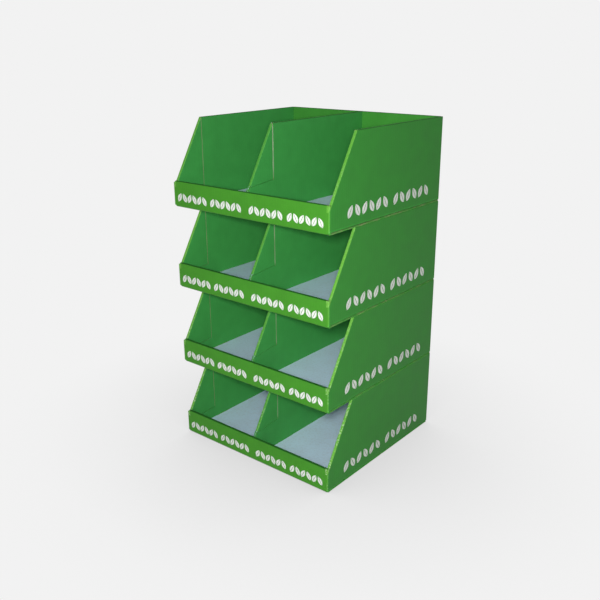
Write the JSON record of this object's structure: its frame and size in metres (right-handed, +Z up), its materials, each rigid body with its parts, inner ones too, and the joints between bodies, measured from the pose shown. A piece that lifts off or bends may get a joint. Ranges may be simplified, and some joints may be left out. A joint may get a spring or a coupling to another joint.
{
  "type": "cardboard display stand",
  "caption": "Free-standing stack of folded card display trays, each with slanted sides, a low front lip and a middle divider between open bins.",
  "frame": {"origin": "middle of the footprint, on the ground", "axes": "+Z up, -Y towards the open side of the bins, +X to the right seen from that side"},
  "size_m": [0.4, 0.38, 0.696],
  "materials": {
    "printed_board": "corrugated board, satin green print outside, plain white inside"
  },
  "bodies": {
    "root": {"tray_bottom": "printed_board", "tray_second": "printed_board", "tray_third": "printed_board", "tray_top": "printed_board", "divider_bottom": "printed_board", "divider_second": "printed_board", "divider_third": "printed_board", "divider_top": "printed_board"}
  },
  "joints": []
}
